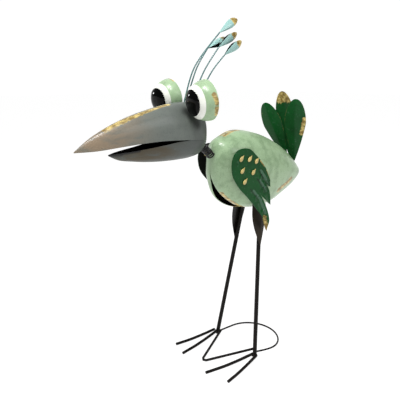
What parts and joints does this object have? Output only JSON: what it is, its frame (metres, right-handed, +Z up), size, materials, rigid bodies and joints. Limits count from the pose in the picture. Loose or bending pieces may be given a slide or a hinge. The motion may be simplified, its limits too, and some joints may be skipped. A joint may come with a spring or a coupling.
{
  "type": "metal garden bird statue",
  "caption": "Freestanding painted sheet-metal garden bird with a long open beak, domed forward eyes, a spring neck, creased wings and rod legs on wire feet.",
  "frame": {"origin": "middle of the statue's outline, on the ground under its feet", "axes": "+Z up, the beak points along -Y, the bird's left side is +X"},
  "size_m": [0.1678, 0.5012, 0.6553],
  "materials": {
    "mint_paint": "sponged mint gloss with gold brush marks on the rims, dark inside",
    "beak_grey": "satin grey shading to brown at the tip, gold along the ridge",
    "feather_green": "dark green gloss with gold edges, black behind",
    "crest_aqua": "pale aqua gloss with gold tips",
    "rod_black": "near-black brown satin",
    "eye_white": "white gloss",
    "pupil_black": "high gloss black"
  },
  "bodies": {
    "root": {"upper_beak_head": "beak_grey", "lower_beak": "beak_grey", "left_eye_dome": "mint_paint", "right_eye_dome": "mint_paint", "left_eye_white": "eye_white", "right_eye_white": "eye_white", "left_pupil": "pupil_black", "right_pupil": "pupil_black", "neck_spring": "rod_black", "crest_wire_1": "crest_aqua", "crest_wire_2": "crest_aqua", "crest_wire_3": "crest_aqua", "crest_wire_4": "crest_aqua", "crest_spoon_1": "crest_aqua", "crest_spoon_2": "crest_aqua", "crest_spoon_3": "crest_aqua", "crest_spoon_4": "crest_aqua", "left_body_shell": "mint_paint", "right_body_shell": "mint_paint", "left_wing": "feather_green", "right_wing": "feather_green", "tail_feather_left": "feather_green", "tail_feather_middle": "feather_green", "tail_feather_right": "feather_green", "left_thigh": "rod_black", "right_thigh": "rod_black", "left_leg": "rod_black", "right_leg": "rod_black", "inner_toes": "rod_black", "left_toe_middle": "rod_black", "left_toe_outer": "rod_black", "right_toe_middle": "rod_black", "right_toe_outer": "rod_black", "foot_hoop": "rod_black"}
  },
  "joints": []
}
